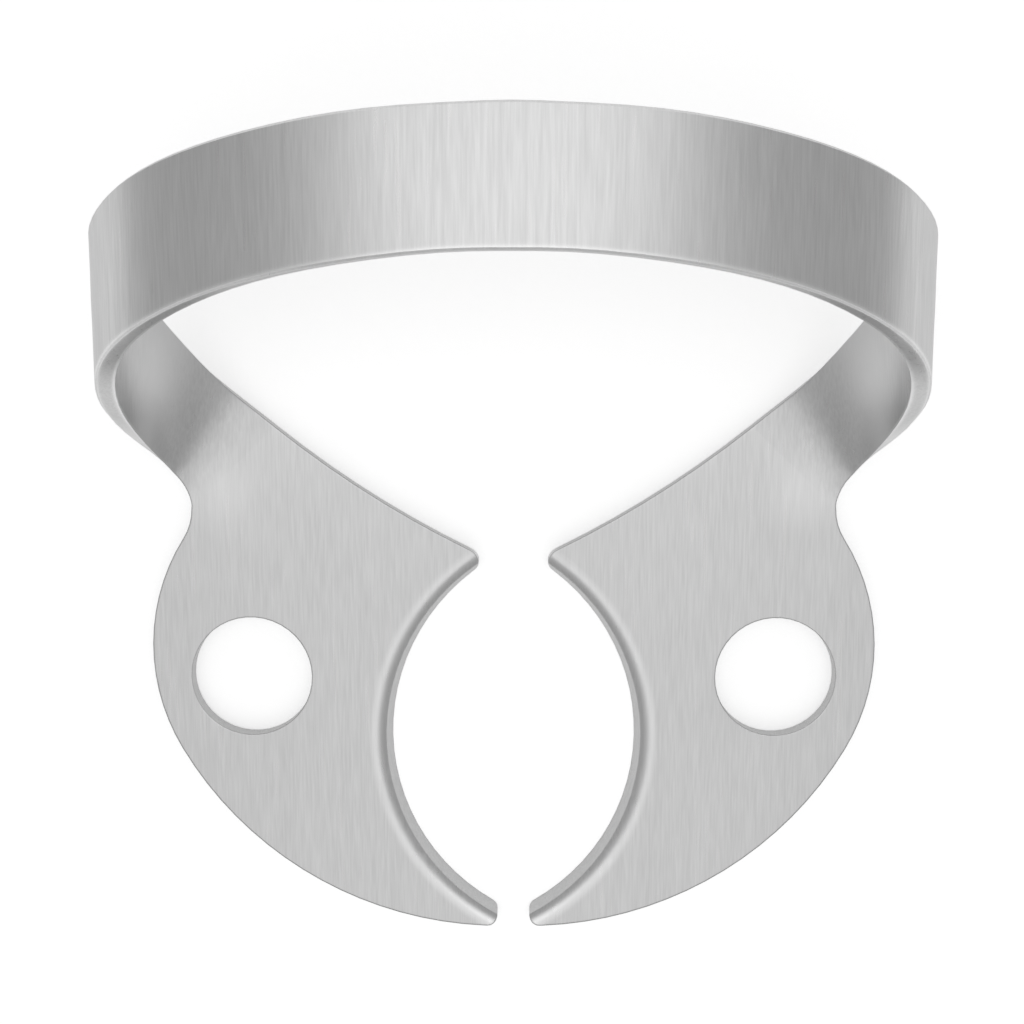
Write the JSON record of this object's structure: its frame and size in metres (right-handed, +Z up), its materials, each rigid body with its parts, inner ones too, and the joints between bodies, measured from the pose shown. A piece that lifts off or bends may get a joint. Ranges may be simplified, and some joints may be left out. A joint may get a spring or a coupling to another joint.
{
  "type": "rubber dam clamp",
  "caption": "Wingless dental rubber dam clamp of bent sheet steel: flat jaws with forceps holes and rolled tooth edges, joined by a leaning spring bow.",
  "frame": {"origin": "on the floor under the middle of the bounding box, on the mirror plane, with the lips of the rolled tooth edges at z = 0", "axes": "+X to the right-hand jaw, +Y from the jaws to the bow, +Z up out of the jaws' upper face"},
  "size_m": [0.0214, 0.0226, 0.0093],
  "materials": {
    "clamp_steel": "fine straight brushing from the jaws to the bow, satin"
  },
  "bodies": {
    "root": {"clamp": "clamp_steel"}
  },
  "joints": []
}
